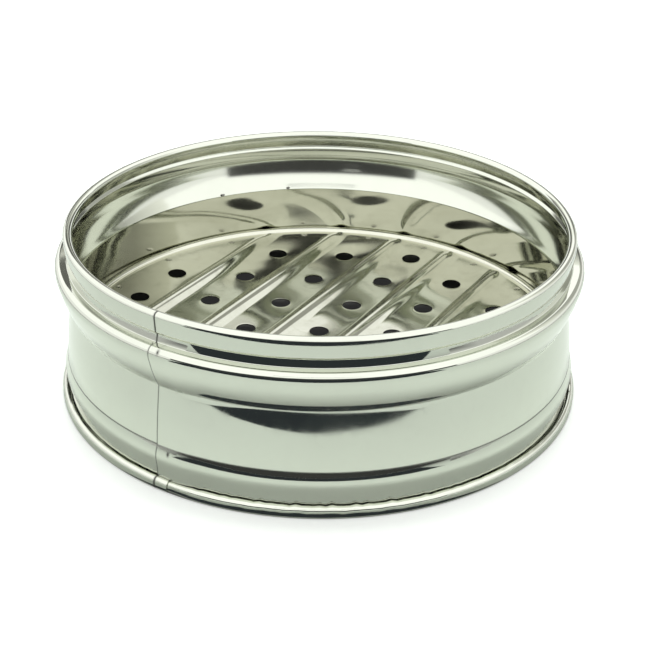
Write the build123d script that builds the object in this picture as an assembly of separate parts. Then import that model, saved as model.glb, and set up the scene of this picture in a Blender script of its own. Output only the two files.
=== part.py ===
from build123d import *
import math
import os

os.makedirs("parts", exist_ok=True)

# Sheet and overall sizes of the tier, in millimetres; the rim's outer face sets the diameter
SHEET = 0.4
TOTAL_H = 70.0
RIM_R = 100.0

# Rim: an inward curl whose outer face slips into the skirt of the tier above
STACK_CLEAR = 1.3
RIM_CURL = 4.2
RIM_FACE_H = 8.5
RIM_EDGE_DROP = 3.9
RIM_CUT = 1.3
NECK_IN = 1.6

# Bead below the rim; its flat top is the stacking shoulder
SHOULDER_DROP = 11.7
BEAD_OUT = 4.95
BEAD_H = 3.1
BEAD_CUT = 1.5
BEAD_RUN = 13.7

# Skirt, which slips over the rim of the tier below: a plain land, a flare and a step to the leaning wall
LAND_H = 8.5
FLARE_OUT = 1.0
SKIRT_H = 13.6
STEP_IN = 1.5
STEP_H = 4.2
WALL_LEAN = 2.3

# Hem: an outward curl with a narrow flat land to stand on
HEM_OUT = 2.6
HEM_H = 4.9
HEM_LAND = 0.9
HEM_EDGE_GAP = 0.2

# Lapped seam: angles about the axis in degrees, its outer edge left of the front
SEAM_AT = 235.8
LAP = 3.0
LAP_GAP = 0.06
JOGGLE = 0.7
LAP_NOTCH = 1.2
RIM_BUTT = 0.1
SEAM_BEAD_CLEAR = 0.2
SEAM_BEAD_LENGTH = 3.0

# Inner ring that carries the plate; its top edge stands above the foot of the bead
RING_FIT = 0.3
RING_STAND = 1.0
RING_FLANGE_W = 12.0
RING_CUT = 3.8
TACK_D = 1.0
TACK_LENGTH = 1.6
TACK_SEAT = 0.42
TACK_CLEAR = 0.04
TACK_STATIONS = 3
TACK_FIRST = 99
TACK_PAIR = 18

# Ribbed and punched plate, its hole rows running from front left to back right
PLATE_Z = 20.8
PLATE_EDGE_CLEAR = 0.3
ROW_AT = 60
ROW_PITCH = 26.8
HOLE_PITCH = 27.1
HOLE_D = 8.0
HOLE_SIDES = 12
HOLE_MARGIN = 11.8
RIB_COUNT = 6
RIB_H = 2.8
RIB_BASE = 7.6
RIB_CROWN = 2.6
RIB_CUT = 0.7

# Spot welds between plate and ring, one in each bay between rib ends and more in the end bays
PLATE_WELD_IN = 2.0
PLATE_WELD_D = 2.6
WELD_GAP = 0.3
WELD_SIDES = 8
END_BAY_WELDS = 4
END_BAY_SHARE = 0.43
END_BAY_TURN = -3.5

# Middle lines of the sheets, which the outlines are drawn on
HALF = SHEET / 2
LAP_SIDE = HALF + LAP_GAP
RIM_MID = RIM_R - HALF
NECK_MID = RIM_MID - NECK_IN
SKIRT_MID = RIM_R + STACK_CLEAR + HALF
HEM_MID = SKIRT_MID + HEM_OUT
HEM_CUT = (HEM_OUT - HEM_LAND) / 2
FLARE_MID = SKIRT_MID + FLARE_OUT
WALL_MID = FLARE_MID - STEP_IN
CREASE_MID = WALL_MID - WALL_LEAN
BEAD_MID = CREASE_MID + BEAD_OUT
SHOULDER_MID_Z = TOTAL_H - SHOULDER_DROP - HALF
BEAD_LOW_Z = SHOULDER_MID_Z - BEAD_H
BEAD_FOOT_Z = BEAD_LOW_Z - BEAD_RUN
STEP_TOP_Z = SKIRT_H + STEP_H
LEAN = math.atan2(WALL_LEAN, BEAD_FOOT_Z - STEP_TOP_Z)
SLOPE = math.atan2(BEAD_OUT, BEAD_RUN)
RING_TOP_Z = BEAD_FOOT_Z + RING_STAND
FLANGE_MID_Z = PLATE_Z - SHEET - WELD_GAP - HALF
RING_IN = (SHEET + RING_FIT) / math.cos(LEAN)
RING_MID = WALL_MID - (FLANGE_MID_Z - STEP_TOP_Z) * math.tan(LEAN) - RING_IN
RING_TOP_MID = RING_MID - (RING_TOP_Z - FLANGE_MID_Z) * math.tan(LEAN)
PLATE_MID_Z = PLATE_Z - HALF
SEAM_BEAD_D = SHEET + LAP_GAP
SEAM_GROOVE = math.degrees((SEAM_BEAD_D + 2 * SEAM_BEAD_CLEAR) / WALL_MID)
PLATE_R = RING_MID - RING_CUT - PLATE_EDGE_CLEAR
PLATE_WELD_R = PLATE_R - PLATE_WELD_IN
HOLE_LIMIT_R = PLATE_R - HOLE_MARGIN


def towards(start, end):
    """Unit direction from one point to another."""
    length = math.dist(start, end)
    return (end[0] - start[0]) / length, (end[1] - start[1]) / length


def softened(corners):
    """Points of a line whose corners are cut back by the third value of each corner."""
    points = []
    for index, (across, up, cut) in enumerate(corners):
        if cut == 0:
            points.append((across, up))
            continue
        for mate in (index - 1, index + 1):
            step = towards((across, up), corners[mate][:2])
            points.append((across + cut * step[0], up + cut * step[1]))
    return points


def moved(points, side):
    """The line moved to its right by an even distance, with mitred corners."""
    shifted = []
    for index, (across, up) in enumerate(points):
        before = towards(points[max(index, 1) - 1], points[max(index, 1)])
        after_at = min(index, len(points) - 2)
        after = towards(points[after_at], points[after_at + 1])
        spread = 1 + before[0] * after[0] + before[1] * after[1]
        shift_across = side * (before[1] + after[1]) / spread
        shift_up = -side * (before[0] + after[0]) / spread
        shifted.append((across + shift_across, up + shift_up))
    return shifted


def sheet_section(corners, left=-HALF, right=HALF):
    """Upright face of sheet that lies between two copies of a line."""
    points = softened(corners)
    outline = moved(points, left) + moved(points, right)[::-1]
    return make_face(Polyline([(across, 0, up) for across, up in outline], close=True))


def turned(face, begin, end):
    """Solid that a section leaves when it is turned about the upright axis."""
    return revolve(face, Axis.Z, end - begin).rotate(Axis.Z, begin)


def hem_corners():
    """Outward curl of the hem from its free edge to the foot of the skirt."""
    top_z = HEM_H - HALF
    return [
        (SKIRT_MID + LAP_SIDE + SHEET + HEM_EDGE_GAP, top_z, 0),
        (HEM_MID, top_z, HEM_CUT),
        (HEM_MID, HALF, HEM_CUT),
        (SKIRT_MID, HALF, HEM_CUT),
    ]


def wall_corners():
    """Skirt, step, main wall, bead and neck up to the foot of the rim."""
    return [
        (SKIRT_MID, LAND_H, 0),
        (FLARE_MID, SKIRT_H, 0),
        (WALL_MID, STEP_TOP_Z, 0),
        (CREASE_MID, BEAD_FOOT_Z, 0),
        (BEAD_MID, BEAD_LOW_Z, 0),
        (BEAD_MID, SHOULDER_MID_Z, BEAD_CUT),
        (NECK_MID, SHOULDER_MID_Z, 0),
        (RIM_MID, TOTAL_H - RIM_FACE_H, 0),
    ]


def rim_corners():
    """Inward curl of the rim, ending at its free edge."""
    inner_r = RIM_R - RIM_CURL + HALF
    return [
        (RIM_MID, TOTAL_H - HALF, RIM_CUT),
        (inner_r, TOTAL_H - HALF, RIM_CUT),
        (inner_r, TOTAL_H - RIM_EDGE_DROP, 0),
    ]


def lap_corners():
    """The lapped part of the wall: it is cut away beside the neck, so that the rim is one layer."""
    return wall_corners()[:-2] + [(NECK_MID + LAP_NOTCH, SHOULDER_MID_Z, 0)]


def rib_corners():
    """Line across one pressed rib, from flat plate to flat plate."""
    crown_z = PLATE_MID_Z + RIB_H
    return [
        (-RIB_BASE / 2 - 2 * RIB_CUT, PLATE_MID_Z, 0),
        (-RIB_BASE / 2, PLATE_MID_Z, RIB_CUT),
        (-RIB_CROWN / 2, crown_z, RIB_CUT),
        (RIB_CROWN / 2, crown_z, RIB_CUT),
        (RIB_BASE / 2, PLATE_MID_Z, RIB_CUT),
        (RIB_BASE / 2 + 2 * RIB_CUT, PLATE_MID_Z, 0),
    ]


def weld_bar(diameter, length):
    """Small weld as a many-sided bar along its own axis."""
    return extrude(RegularPolygon(diameter / 2, WELD_SIDES), length / 2, both=True)


def plate_weld_angles():
    """Angles of the plate's spot welds: one per bay, then the two wide end bays."""
    angles = []
    for bay in range(RIB_COUNT - 1):
        offset = (bay + 1 - RIB_COUNT / 2) * ROW_PITCH
        swing = math.degrees(math.asin(offset / PLATE_WELD_R))
        angles += [ROW_AT + swing, ROW_AT + 180 - swing]
    rib_side = (RIB_COUNT - 1) / 2 * ROW_PITCH + RIB_BASE / 2
    outermost = rib_side + END_BAY_SHARE * (PLATE_WELD_R - rib_side)
    reach = math.degrees(math.acos(outermost / PLATE_WELD_R))
    for place in range(END_BAY_WELDS):
        swing = (2 * place / (END_BAY_WELDS - 1) - 1) * reach + END_BAY_TURN
        angles += [ROW_AT + 90 + swing, ROW_AT - 90 + swing]
    return angles


def make_band():
    """Outer band: one strip, beaded, curled at both edges and lapped at the seam below the rim."""
    inner_end = SEAM_AT + LAP
    round_begin = inner_end + SEAM_GROOVE
    flap_end = round_begin + JOGGLE
    margin = JOGGLE / 8
    around = turned(sheet_section(hem_corners() + wall_corners()), round_begin, inner_end + 360)
    head = turned(sheet_section(wall_corners()[-2:] + rim_corners()), SEAM_AT + RIM_BUTT, SEAM_AT + 360)
    flap = turned(sheet_section(hem_corners() + lap_corners(), LAP_SIDE, LAP_SIDE + SHEET), SEAM_AT, flap_end)
    step = sheet_section([(SKIRT_MID, HEM_H, 0)] + lap_corners(), 0, LAP_SIDE + HALF)
    return around + head + turned(step, round_begin + margin, flap_end - margin) + flap


def make_seam_tacks():
    """Tack welds in the groove inside the lap, where the inner layer of the seam ends."""
    spots = [(SKIRT_MID, (HEM_H + LAND_H) / 2, 0)]
    for z in (STEP_TOP_Z + SEAM_BEAD_LENGTH, BEAD_FOOT_Z - SEAM_BEAD_LENGTH):
        spots.append((WALL_MID - (z - STEP_TOP_Z) * math.tan(LEAN), z, -LEAN))
    spots.append(((CREASE_MID + BEAD_MID) / 2, (BEAD_FOOT_Z + BEAD_LOW_Z) / 2, SLOPE))
    beads = []
    for r, z, tilt in spots:
        bead = Pos(r, 0, z) * Rot(0, math.degrees(tilt), 0) * weld_bar(SEAM_BEAD_D, SEAM_BEAD_LENGTH)
        beads.append(bead.rotate(Axis.Z, SEAM_AT + LAP + SEAM_GROOVE / 2))
    return Compound(children=beads)


def make_ring():
    """Inner ring: upright wall inside the band and a flange below the plate."""
    corners = [
        (RING_MID - RING_FLANGE_W, FLANGE_MID_Z, 0),
        (RING_MID, FLANGE_MID_Z, RING_CUT),
        (RING_TOP_MID, RING_TOP_Z, 0),
    ]
    return revolve(sheet_section(corners), Axis.Z, 360)


def make_ring_tacks():
    """Tack welds between the top edge of the inner ring and the bead's slope, in pairs."""
    z = RING_TOP_Z + TACK_SEAT * TACK_D
    slope_r = CREASE_MID + (z - BEAD_FOOT_Z) * math.tan(SLOPE) - HALF / math.cos(SLOPE)
    r = slope_r - (TACK_D / 2 + TACK_CLEAR) / math.cos(SLOPE)
    beads = []
    for station in range(TACK_STATIONS):
        for mate in range(2):
            angle = TACK_FIRST + station * 360 / TACK_STATIONS + mate * TACK_PAIR
            bead = Pos(r, 0, z) * Rot(90, 0, 0) * weld_bar(TACK_D, TACK_LENGTH)
            beads.append(bead.rotate(Axis.Z, angle))
    return Compound(children=beads)


def make_plate():
    """Plate with pressed ribs that are open at both ends and punched holes between them."""
    plate = Pos(0, 0, PLATE_MID_Z) * Cylinder(PLATE_R, SHEET)
    limit = Pos(0, 0, PLATE_MID_Z) * Cylinder(PLATE_R, 8 * RIB_H)
    width = RIB_BASE + 4 * RIB_CUT
    strip = extrude(sheet_section(rib_corners()), PLATE_R + SHEET, both=True).rotate(Axis.Z, 90)
    for rib in range(RIB_COUNT):
        offset = (rib - (RIB_COUNT - 1) / 2) * ROW_PITCH
        slot = Pos(0, offset, PLATE_MID_Z) * Box(3 * PLATE_R, width, 4 * SHEET)
        plate -= slot.rotate(Axis.Z, ROW_AT)
        plate += (Pos(0, offset, 0) * strip).rotate(Axis.Z, ROW_AT) & limit
    hole = extrude(RegularPolygon(HOLE_D / 2, HOLE_SIDES), 2 * SHEET, both=True)
    rows = math.ceil(HOLE_LIMIT_R / ROW_PITCH)
    steps = math.ceil(HOLE_LIMIT_R / HOLE_PITCH)
    for row in range(-rows, rows + 1):
        for step in range(-steps, steps + 1):
            along = (step + (row % 2) / 2) * HOLE_PITCH
            offset = row * ROW_PITCH
            if math.hypot(along, offset) < HOLE_LIMIT_R:
                plate -= (Pos(along, offset, PLATE_MID_Z) * hole).rotate(Axis.Z, ROW_AT)
    return plate


def make_plate_welds():
    """Weld nuggets between the plate and the flange of the inner ring."""
    z = PLATE_Z - SHEET - WELD_GAP / 2
    nugget = Pos(PLATE_WELD_R, 0, z) * weld_bar(PLATE_WELD_D, WELD_GAP)
    return Compound(children=[nugget.rotate(Axis.Z, angle) for angle in plate_weld_angles()])


pieces = {
    "body_band": make_band(),
    "seam_tack_welds": make_seam_tacks(),
    "plate_ring": make_ring(),
    "ring_tack_welds": make_ring_tacks(),
    "steam_plate": make_plate(),
    "plate_spot_welds": make_plate_welds(),
}

for name, shape in pieces.items():
    export_step(shape, f"parts/{name}.step")
    print(name, round(shape.volume, 1), shape.is_valid)
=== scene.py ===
"""Visual model of a polished steel steamer tier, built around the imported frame."""

from __future__ import annotations

import logging
import math
from dataclasses import dataclass
from enum import Enum
from typing import Sequence

import bpy
import numpy as np
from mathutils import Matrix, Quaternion, Vector
from mathutils.geometry import delaunay_2d_cdt

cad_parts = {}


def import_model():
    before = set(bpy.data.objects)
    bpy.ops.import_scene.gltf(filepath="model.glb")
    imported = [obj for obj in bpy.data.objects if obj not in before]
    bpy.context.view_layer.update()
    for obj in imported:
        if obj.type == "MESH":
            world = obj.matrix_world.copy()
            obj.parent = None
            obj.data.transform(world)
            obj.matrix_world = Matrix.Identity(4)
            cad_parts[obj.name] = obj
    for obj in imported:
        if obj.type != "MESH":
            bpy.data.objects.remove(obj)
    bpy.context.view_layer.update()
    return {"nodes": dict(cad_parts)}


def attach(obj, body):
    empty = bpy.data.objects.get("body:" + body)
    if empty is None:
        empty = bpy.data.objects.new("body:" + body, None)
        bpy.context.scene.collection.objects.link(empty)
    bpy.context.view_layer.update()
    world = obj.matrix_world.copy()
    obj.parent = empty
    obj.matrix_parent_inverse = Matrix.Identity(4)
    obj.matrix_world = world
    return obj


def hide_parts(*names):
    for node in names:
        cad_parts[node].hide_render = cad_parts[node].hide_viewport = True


LOG = logging.getLogger("steamer_tier")
MM = 0.001
BODY = "root"
# Attribute that darkens the steel: painted shade along the band's seam and step crease, and dark marks round
# the plate's spot welds.
DIRT_AND_SHADE = "dirt_and_shade"
WORN = "worn"
FULL_CIRCLE = 360.0
QUARTER = math.pi / 2
STRAIGHT = 1e-6
WHITE = (1.0, 1.0, 1.0)
WARM_WHITE = (1.0, 1.0, 0.95)
COLD_DARK = (0.80, 0.95, 1.08)


class Slot(Enum):
    """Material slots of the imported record."""

    POLISHED = "polished_steel"
    WELD = "weld_steel"


class Axis(Enum):
    """Axis that a studio card's glow fades along."""

    X = "X"
    Y = "Y"
    Z = "Z"


class Facing(Enum):
    """Direction that a studio card faces."""

    RIGHT = (1.0, 0.0, 0.0)
    LEFT = (-1.0, 0.0, 0.0)
    BACK = (0.0, 1.0, 0.0)
    FRONT = (0.0, -1.0, 0.0)
    UP = (0.0, 0.0, 1.0)
    DOWN = (0.0, 0.0, -1.0)


def smooth_step(low: float, high: float, value: np.ndarray) -> np.ndarray:
    """Even S-curve that rises from 0 at low to 1 at high: share squared times (3 - 2 shares)."""
    share = np.clip((value - low) / (high - low), 0.0, 1.0)
    return share * share * (3.0 - 2.0 * share)


def plateau(value: np.ndarray, rise: tuple[float, float], fall: tuple[float, float]) -> np.ndarray:
    """Stretch of 1 between an S-curve that rises and one that falls: the product of both."""
    return smooth_step(*rise, value) * (1.0 - smooth_step(*fall, value))


def bell(value: np.ndarray, width: float) -> np.ndarray:
    """Bell curve that is 1 at zero and falls off over the width."""
    return np.exp(-((value / width) ** 2))


@dataclass(frozen=True)
class StandingWave:
    """Wave of an uneven sheet: so many times round the axis, with a length up the sheet in millimetres."""

    share: float
    times: float
    phase: float
    length: float
    shift: float = 0.0

    def at(self, turn: np.ndarray, up: np.ndarray) -> np.ndarray:
        """Share times sin(times x turn + phase) times cos(up / length + shift)."""
        return self.share * np.sin(self.times * turn + self.phase) * np.cos(up / self.length + self.shift)


@dataclass(frozen=True)
class Corner:
    """Corner of a sheet's middle line, in millimetres, with the radius that rounds it."""

    across: float
    up: float
    radius: float = 0.0


def corner_arc(before: Corner, at: Corner, after: Corner, step: float) -> np.ndarray:
    """Points of the arc that touches both runs beside a corner.

    Args:
        before: the corner ahead of it on the line.
        at: the corner to round.
        after: the next corner.
        step: largest turn between two points, in degrees.

    Returns:
        Points from one touching point to the other; the corner itself if it is sharp.
    """
    here = np.array([at.across, at.up])
    inward = np.array([before.across, before.up]) - here
    outward = np.array([after.across, after.up]) - here
    inward /= np.linalg.norm(inward)
    outward /= np.linalg.norm(outward)
    turn = math.pi - math.acos(float(np.clip(inward @ outward, -1.0, 1.0)))
    if at.radius == 0.0 or turn < STRAIGHT:
        return here[None]
    bisector = (inward + outward) / np.linalg.norm(inward + outward)
    centre = here + bisector * at.radius / math.cos(turn / 2)
    start = here + inward * at.radius * math.tan(turn / 2) - centre
    count = max(2, math.ceil(math.degrees(turn) / step) + 1)
    side = math.copysign(1.0, inward[1] * outward[0] - inward[0] * outward[1])
    swing = np.linspace(0.0, turn, count) * side
    cos, sin = np.cos(swing), np.sin(swing)
    arc = np.stack([cos * start[0] - sin * start[1], sin * start[0] + cos * start[1]], 1)
    return centre + arc


def rounded_line(corners: Sequence[Corner], step: float, longest: float) -> np.ndarray:
    """Line through rounded corners: arcs at the corners and evenly divided runs between.

    Args:
        corners: the corners in order; the ends stay sharp.
        step: largest turn between two points of an arc, in degrees.
        longest: longest piece of a straight run, in millimetres.

    Returns:
        Points of the line, one per row.
    """
    first, last = corners[0], corners[-1]
    stretches = [np.array([[first.across, first.up]])]
    for before, at, after in zip(corners, corners[1:], corners[2:]):
        stretches.append(corner_arc(before, at, after, step))
    stretches.append(np.array([[last.across, last.up]]))
    points = [stretches[0]]
    for back, front in zip(stretches, stretches[1:]):
        gap = np.linalg.norm(front[0] - back[-1])
        inner = np.linspace(0.0, 1.0, max(1, math.ceil(gap / longest)) + 1)[1:-1, None]
        points.append(back[-1] + inner * (front[0] - back[-1]))
        points.append(front)
    return np.concatenate(points)


def sheet_section(line: np.ndarray, lift: np.ndarray, sheet: float) -> np.ndarray:
    """Closed sections of a bent sheet: its middle line moved half a sheet to each side, there and back.

    The normals lie to the right of the line, square to the difference of each point's neighbours.

    Args:
        line: points of the middle line, radius and height.
        lift: how far each section's points stand off the line, one section per row.
        sheet: thickness of the sheet.

    Returns:
        Radius and height of every point of every section.
    """
    along = np.gradient(line, axis=0)
    along /= np.linalg.norm(along, axis=1, keepdims=True)
    normals = np.stack([along[:, 1], -along[:, 0]], axis=1)
    right, left = (line[None] + (lift + side)[..., None] * normals[None] for side in (sheet / 2, -sheet / 2))
    return np.concatenate([right, left[:, ::-1]], axis=1)


def carry_round(section: np.ndarray, turn: np.ndarray) -> np.ndarray:
    """Sections carried round the axis: radius x cos(turn), radius x sin(turn), height."""
    radius, up = section[..., 0], section[..., 1]
    return np.stack([radius * np.cos(turn), radius * np.sin(turn), up], -1)


def unit_circle(count: int) -> np.ndarray:
    """Even points of the unit circle: cosine and sine of each turn."""
    turn = np.linspace(0.0, math.tau, count, endpoint=False)
    return np.stack([np.cos(turn), np.sin(turn)], 1)


def rings_round(centres: np.ndarray, radii: np.ndarray, circle: np.ndarray) -> np.ndarray:
    """Rings of points: each centre plus each radius times each point of a unit circle."""
    return (centres[:, None, None] + radii[None, :, None, None] * circle[None, None]).reshape(-1, 2)


def nearest(spots: np.ndarray, centres: np.ndarray) -> np.ndarray:
    """Distance from each spot to the nearest of the centres."""
    return np.min(np.linalg.norm(spots[:, None] - centres[None], axis=2), axis=1)


def grid_quads(rows: int, cols: int, close_cols: bool, close_rows: bool = False) -> np.ndarray:
    """Quads of a grid of points that is numbered row by row.

    Args:
        rows: number of rows.
        cols: number of points in a row.
        close_cols: whether the last point of a row joins the first.
        close_rows: whether the last row joins the first.

    Returns:
        Four point numbers per quad.
    """
    row = np.arange(rows if close_rows else rows - 1)[:, None]
    col = np.arange(cols if close_cols else cols - 1)[None]
    next_row = (row + 1) % rows
    next_col = (col + 1) % cols
    corners = np.broadcast_arrays(
        row * cols + col, row * cols + next_col, next_row * cols + next_col, next_row * cols + col)
    return np.stack(corners, -1).reshape(-1, 4)


def make_mesh(name: str, points: np.ndarray, faces: Sequence[np.ndarray], sharp: float) -> bpy.types.Object:
    """Object at the origin from whole arrays of points and faces.

    Args:
        name: name of the object and its mesh.
        points: points in millimetres, one per row.
        faces: arrays of point numbers, each with one face size.
        sharp: edges that turn by more than this many degrees stay sharp.

    Returns:
        The new object, linked into the scene.
    """
    mesh = bpy.data.meshes.new(name)
    corners = np.concatenate([f.reshape(-1) for f in faces]).astype(np.int32)
    sizes = np.concatenate([np.full(len(f), f.shape[1]) for f in faces])
    mesh.vertices.add(len(points))
    mesh.vertices.foreach_set("co", (points * MM).astype(np.float32).reshape(-1))
    mesh.loops.add(len(corners))
    mesh.loops.foreach_set("vertex_index", corners)
    mesh.polygons.add(len(sizes))
    mesh.polygons.foreach_set("loop_start", (np.cumsum(sizes) - sizes).astype(np.int32))
    mesh.polygons.foreach_set("use_smooth", np.ones(len(sizes), bool))
    mesh.update(calc_edges=True)
    mesh.validate()
    mesh.set_sharp_from_angle(angle=math.radians(sharp))
    obj = bpy.data.objects.new(name, mesh)
    bpy.context.scene.collection.objects.link(obj)
    return obj


def set_attribute(obj: bpy.types.Object, name: str, values: np.ndarray) -> None:
    """Stores one number per point, which materials read by its name."""
    attribute = obj.data.attributes.new(name, "FLOAT", "POINT")
    attribute.data.foreach_set("value", values.astype(np.float32).reshape(-1))


def seat_piece(obj: bpy.types.Object, material: bpy.types.Material, slot: Slot,
               *nodes: str) -> bpy.types.Object:
    """Dresses a piece and lets it stand for its nodes on the one body.

    Args:
        obj: the piece.
        material: its finish.
        slot: not used.
        nodes: the nodes that it stands for.

    Returns:
        The same piece.
    """
    obj.data.materials.append(material)
    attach(obj, BODY)
    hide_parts(*nodes)
    LOG.info("%s: %d faces, stands for %s", obj.name, len(obj.data.polygons), ", ".join(nodes))
    return obj


def add_node(tree: bpy.types.NodeTree, kind: str, **settings: object) -> bpy.types.Node:
    """New shader node with its settings, values and links.

    Args:
        tree: node tree that gets it.
        kind: its type.
        settings: its properties; a key in_NAME or in_NUMBER is an input, linked where the value is a socket.

    Returns:
        The node.
    """
    node = tree.nodes.new(kind)
    for key, value in settings.items():
        if not key.startswith("in_"):
            setattr(node, key, value)
            continue
        name = key.removeprefix("in_").replace("_", " ")
        socket = node.inputs[int(name) if name.isdigit() else name]
        if isinstance(value, bpy.types.NodeSocket):
            tree.links.new(value, socket)
        else:
            socket.default_value = value
    return node


@dataclass(frozen=True)
class HandlingHaze:
    """Handling haze that all the steels share: broad clouds and small smears."""

    cloud_scale: float = 28.0
    smear_scale: float = 150.0
    cloud_span: tuple[float, float] = (0.42, 0.75)
    smear_span: tuple[float, float] = (0.5, 0.8)
    smear_share: float = 0.45

    def build(self) -> bpy.types.NodeTree:
        """Node group: cloud noise plus a share of smear noise, each stretched over its span.

        Returns:
            Group that turns Object coordinates, in metres, into a mask from 0 to 1.
        """
        tree = bpy.data.node_groups.new("handling_haze", "ShaderNodeTree")
        kind = "NodeSocketFloat"
        for title, scale in (("Cloud Scale", self.cloud_scale), ("Smear Scale", self.smear_scale)):
            tree.interface.new_socket(title, in_out="INPUT", socket_type=kind).default_value = scale
        tree.interface.new_socket("Mask", in_out="OUTPUT", socket_type=kind)
        source = tree.nodes.new("NodeGroupInput")
        sink = tree.nodes.new("NodeGroupOutput")
        place = add_node(tree, "ShaderNodeTexCoord")
        cloud = add_node(tree, "ShaderNodeTexNoise", in_Vector=place.outputs["Object"],
                         in_Scale=source.outputs["Cloud Scale"],
                         in_Detail=3.0, in_Roughness=0.55, in_Distortion=0.6)
        smear = add_node(tree, "ShaderNodeTexNoise", in_Vector=place.outputs["Object"],
                         in_Scale=source.outputs["Smear Scale"],
                         in_Detail=2.0, in_Roughness=0.5, in_Distortion=1.5)
        clouds = add_node(tree, "ShaderNodeMapRange", in_Value=cloud.outputs["Fac"],
                          in_From_Min=self.cloud_span[0], in_From_Max=self.cloud_span[1])
        smears = add_node(tree, "ShaderNodeMapRange", in_Value=smear.outputs["Fac"],
                          in_From_Min=self.smear_span[0], in_From_Max=self.smear_span[1])
        both = add_node(tree, "ShaderNodeMath", operation="MULTIPLY_ADD", in_0=smears.outputs["Result"],
                        in_1=self.smear_share, in_2=clouds.outputs["Result"])
        tree.links.new(both.outputs["Value"], sink.inputs["Mask"])
        return tree


@dataclass(frozen=True)
class SteelFinish:
    """Steel sheet or weld: metal with handling haze, darkened where an attribute says so: painted shade at
    the band's seam and crease, dark marks round the plate's spot welds.
    """

    name: str
    colour: tuple[float, float, float]
    hazed: tuple[float, float, float]
    dirt_and_shade_colour: tuple[float, float, float]
    roughness: float
    haze_roughness: float
    dirt_and_shade_roughness: float
    ripple: float
    ripple_scale: float
    cloud_scale: float

    def build(self, haze: bpy.types.NodeTree) -> bpy.types.Material:
        """Material whose haze and wear lift roughness, whose haze dulls colour, with the attribute's dark
        marks, painted shade among them, on both.

        Args:
            haze: the shared handling haze group.

        Returns:
            The material.
        """
        material = bpy.data.materials.new(self.name)
        material.use_nodes = True
        tree = material.node_tree
        shader = tree.nodes["Principled BSDF"]
        shader.inputs["Metallic"].default_value = 1.0
        mask = add_node(tree, "ShaderNodeGroup", node_tree=haze, in_Cloud_Scale=self.cloud_scale)
        # The attribute's dark marks: painted shade on the band, marks round the spot welds on the plate.
        dirt_and_shade = add_node(tree, "ShaderNodeAttribute", attribute_name=DIRT_AND_SHADE)
        worn = add_node(tree, "ShaderNodeAttribute", attribute_name=WORN)
        tint = add_node(tree, "ShaderNodeMix", data_type="RGBA", in_Factor=mask.outputs["Mask"],
                        in_A=(*self.colour, 1.0), in_B=(*self.hazed, 1.0))
        with_dirt_and_shade = add_node(tree, "ShaderNodeMix", data_type="RGBA", in_Factor=dirt_and_shade.outputs["Fac"],
                         in_A=tint.outputs["Result"], in_B=(*self.dirt_and_shade_colour, 1.0))
        tree.links.new(with_dirt_and_shade.outputs["Result"], shader.inputs["Base Color"])
        used = add_node(tree, "ShaderNodeMath", operation="ADD", use_clamp=True,
                        in_0=mask.outputs["Mask"], in_1=worn.outputs["Fac"])
        rough = add_node(tree, "ShaderNodeMapRange", in_Value=used.outputs["Value"],
                         in_To_Min=self.roughness, in_To_Max=self.haze_roughness)
        rough_rough_dirt_and_shade = add_node(tree, "ShaderNodeMix", in_Factor=dirt_and_shade.outputs["Fac"],
                              in_A=rough.outputs["Result"], in_B=self.dirt_and_shade_roughness)
        tree.links.new(rough_rough_dirt_and_shade.outputs["Result"], shader.inputs["Roughness"])
        place = add_node(tree, "ShaderNodeTexCoord")
        wave = add_node(tree, "ShaderNodeTexNoise", in_Vector=place.outputs["Object"],
                        in_Scale=self.ripple_scale, in_Detail=1.0)
        bump = add_node(tree, "ShaderNodeBump", in_Height=wave.outputs["Fac"],
                        in_Strength=1.0, in_Distance=self.ripple)
        tree.links.new(bump.outputs["Normal"], shader.inputs["Normal"])
        return material


BAND_STEEL = SteelFinish(
    "band_polished_steel", colour=(0.62, 0.645, 0.565), hazed=(0.60, 0.62, 0.545), dirt_and_shade_colour=(0.03, 0.03, 0.028),
    roughness=0.03, haze_roughness=0.10, dirt_and_shade_roughness=0.45,
    ripple=0.000012, ripple_scale=60.0, cloud_scale=24.0)
RING_STEEL = SteelFinish(
    "ring_polished_steel", colour=(0.61, 0.615, 0.52), hazed=(0.57, 0.575, 0.48), dirt_and_shade_colour=(0.05, 0.047, 0.04),
    roughness=0.07, haze_roughness=0.13, dirt_and_shade_roughness=0.5,
    ripple=0.00002, ripple_scale=60.0, cloud_scale=30.0)
PLATE_STEEL = SteelFinish(
    "plate_polished_steel", colour=(0.52, 0.53, 0.45), hazed=(0.43, 0.435, 0.36), dirt_and_shade_colour=(0.13, 0.12, 0.10),
    roughness=0.07, haze_roughness=0.14, dirt_and_shade_roughness=0.4,
    ripple=0.00002, ripple_scale=70.0, cloud_scale=32.0)
WELD_STEEL = SteelFinish(
    "fused_weld_steel", colour=(0.30, 0.30, 0.28), hazed=(0.16, 0.155, 0.145), dirt_and_shade_colour=(0.03, 0.03, 0.03),
    roughness=0.30, haze_roughness=0.55, dirt_and_shade_roughness=0.6,
    ripple=0.0001, ripple_scale=900.0, cloud_scale=300.0)


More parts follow.
